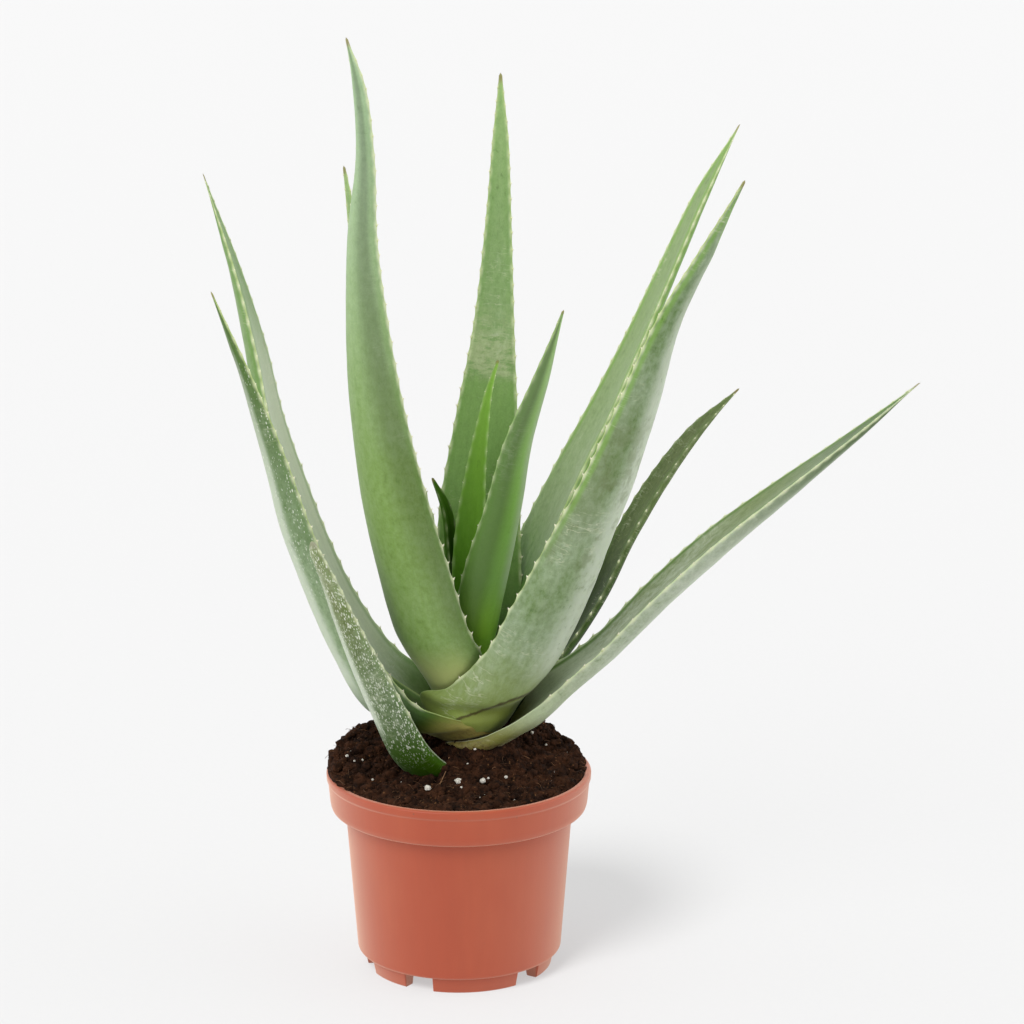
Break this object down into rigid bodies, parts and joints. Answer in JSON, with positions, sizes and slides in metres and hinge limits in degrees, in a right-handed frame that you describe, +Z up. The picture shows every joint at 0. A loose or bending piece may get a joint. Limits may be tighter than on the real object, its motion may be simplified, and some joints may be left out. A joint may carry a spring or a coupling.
{
  "type": "potted aloe plant",
  "caption": "Potted aloe: a rosette of fleshy, toothed, channelled leaves rising from soil in a terracotta-coloured plastic nursery pot with a wide rim and notched feet.",
  "frame": {"origin": "centre of the pot's underside, on the floor it stands on", "axes": "+Z up along the pot's axis, +Y to the back of the plant, +X to the side its lowest, longest leaf leans to"},
  "size_m": [0.317, 0.1386, 0.431],
  "materials": {
    "pot": "moulded terracotta-coloured plastic with a soft sheen",
    "soil": "dark, damp, lumpy peat with bark fibres",
    "stem": "dull yellow-green, scarred",
    "perlite": "chalky white foam-like grain",
    "leaf_a": "waxy green skin with a pale bloom; left, tall, leaning to the far left",
    "leaf_b": "waxy green skin with a pale bloom; left, lower",
    "leaf_c": "waxy green skin with a pale bloom; front, low, with the rounded brown tip",
    "leaf_d": "waxy green skin with a pale bloom; centre left, the tallest",
    "leaf_e": "waxy green skin with a pale bloom; behind the tallest leaf",
    "leaf_f": "waxy green skin with a pale bloom; back centre",
    "leaf_g": "waxy green skin with a pale bloom; front right, wide and pale",
    "leaf_h": "waxy green skin with a pale bloom; young, innermost, bright",
    "leaf_i": "waxy green skin with a pale bloom; inner, right",
    "leaf_j": "waxy green skin with a pale bloom; young, small and hooked",
    "leaf_k": "waxy green skin with a pale bloom; right, tall, at the back",
    "leaf_l": "waxy green skin with a pale bloom; right, low, behind",
    "leaf_m": "waxy green skin with a pale bloom; far right, low and long"
  },
  "bodies": {
    "root": {"pot": "pot", "soil": "soil", "stem": "stem", "grain_a": "perlite", "grain_b": "perlite", "grain_c": "perlite", "leaf_a": "leaf_a", "leaf_b": "leaf_b", "leaf_c": "leaf_c", "leaf_d": "leaf_d", "leaf_e": "leaf_e", "leaf_f": "leaf_f", "leaf_g": "leaf_g", "leaf_h": "leaf_h", "leaf_i": "leaf_i", "leaf_j": "leaf_j", "leaf_k": "leaf_k", "leaf_l": "leaf_l", "leaf_m": "leaf_m"}
  },
  "joints": []
}
